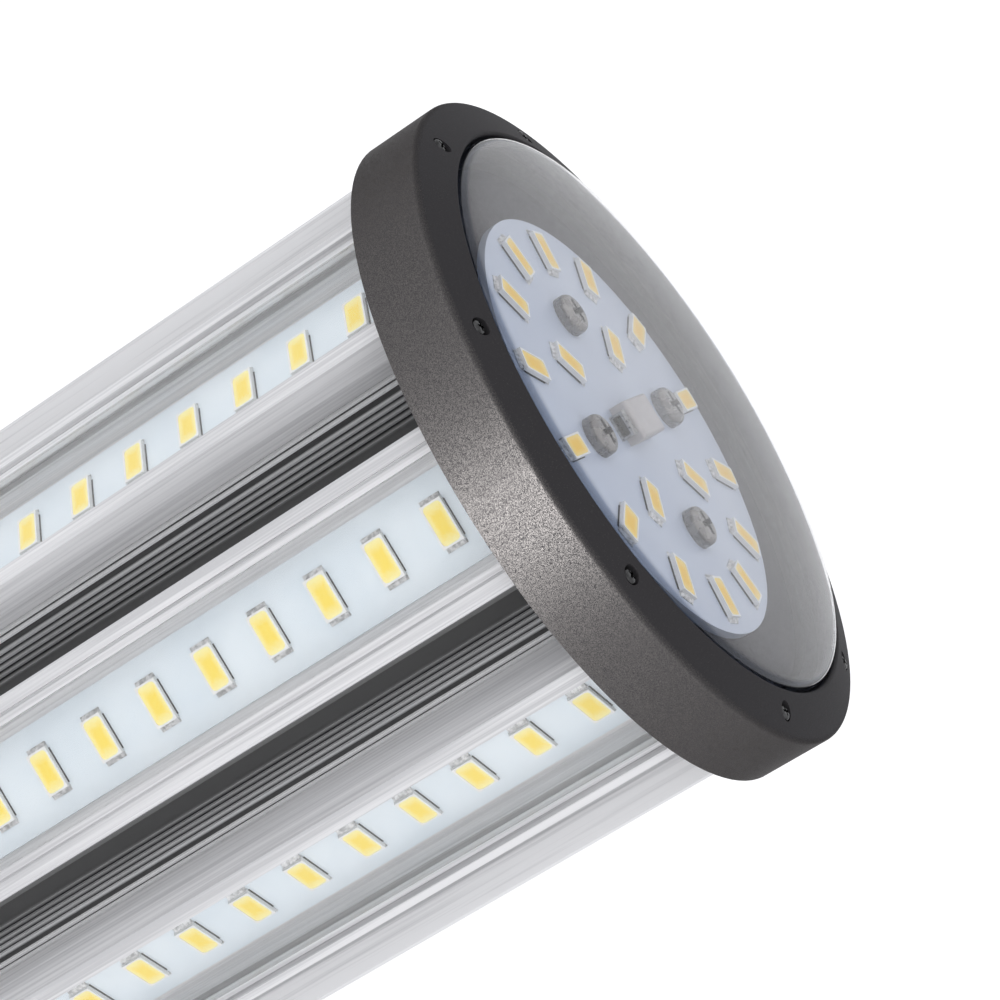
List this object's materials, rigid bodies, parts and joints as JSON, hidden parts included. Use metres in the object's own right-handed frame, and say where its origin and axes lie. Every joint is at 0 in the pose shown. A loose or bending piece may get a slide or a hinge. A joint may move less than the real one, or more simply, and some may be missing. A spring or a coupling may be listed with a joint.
{
  "type": "led light bulb",
  "caption": "Tubular LED light bulb: strips behind clear covers round a ribbed aluminium heat sink, a clear-domed end ring and a screw cap.",
  "frame": {"origin": "tip of the cap's centre contact, on the lamp's axis", "axes": "+Z along the lamp's axis from the cap towards the domed head; +X through the middle of strip 1"},
  "size_m": [0.093, 0.093, 0.2644],
  "materials": {
    "sink_aluminium": "matt silver, extruded",
    "ring_coating": "dark grey metallic powder coat with a fine sparkle",
    "plate_coating": "dark grey coated",
    "screw_steel": "plated",
    "dome_clear": "clear, glossy",
    "cover_clear": "clear, glossy",
    "gasket_rubber": "matt",
    "end_board_mask": "pale blue-grey solder mask",
    "strip_board_mask": "white solder mask with a pale blue tint",
    "led_package": "white package with a yellow phosphor face",
    "terminal_plastic": "white",
    "terminal_metal": "tinned",
    "terminal_black": "moulded package",
    "neck_plastic": "light grey, fine texture",
    "driver_laminate": "glass-fibre laminate with a green mask",
    "transformer_core": "ferrite and tape",
    "capacitor_sleeve": "shrink sleeve",
    "lead_insulation": "wire insulation",
    "cap_metal": "nickel-plated brass",
    "insulator_black": "vitreous insulator",
    "contact_metal": "tinned brass"
  },
  "bodies": {
    "root": {"base_plate": "plate_coating", "base_plate_screws": "screw_steel", "base_ring": "ring_coating", "base_screws": "screw_steel", "board_screws": "screw_steel", "cap_contact": "contact_metal", "cap_insulator": "insulator_black", "cap_leads": "lead_insulation", "cap_shell": "cap_metal", "connector_clip": "terminal_metal", "dome_cover": "dome_clear", "dome_gasket": "gasket_rubber", "driver_board": "driver_laminate", "driver_capacitors": "capacitor_sleeve", "driver_choke": "transformer_core", "driver_housing": "neck_plastic", "driver_rectifier": "terminal_black", "driver_transformer": "transformer_core", "end_board": "end_board_mask", "end_connector": "terminal_plastic", "end_leds": "led_package", "end_plate": "plate_coating", "head_leads": "lead_insulation", "head_ring": "ring_coating", "head_screws": "screw_steel", "heat_sink": "sink_aluminium", "plate_screws": "screw_steel", "strip_board_1": "strip_board_mask", "strip_board_2": "strip_board_mask", "strip_board_3": "strip_board_mask", "strip_board_4": "strip_board_mask", "strip_board_5": "strip_board_mask", "strip_board_6": "strip_board_mask", "strip_board_7": "strip_board_mask", "strip_board_8": "strip_board_mask", "strip_cover_1": "cover_clear", "strip_cover_2": "cover_clear", "strip_cover_3": "cover_clear", "strip_cover_4": "cover_clear", "strip_cover_5": "cover_clear", "strip_cover_6": "cover_clear", "strip_cover_7": "cover_clear", "strip_cover_8": "cover_clear", "strip_leds_1": "led_package", "strip_leds_2": "led_package", "strip_leds_3": "led_package", "strip_leds_4": "led_package", "strip_leds_5": "led_package", "strip_leds_6": "led_package", "strip_leds_7": "led_package", "strip_leds_8": "led_package"}
  },
  "joints": []
}
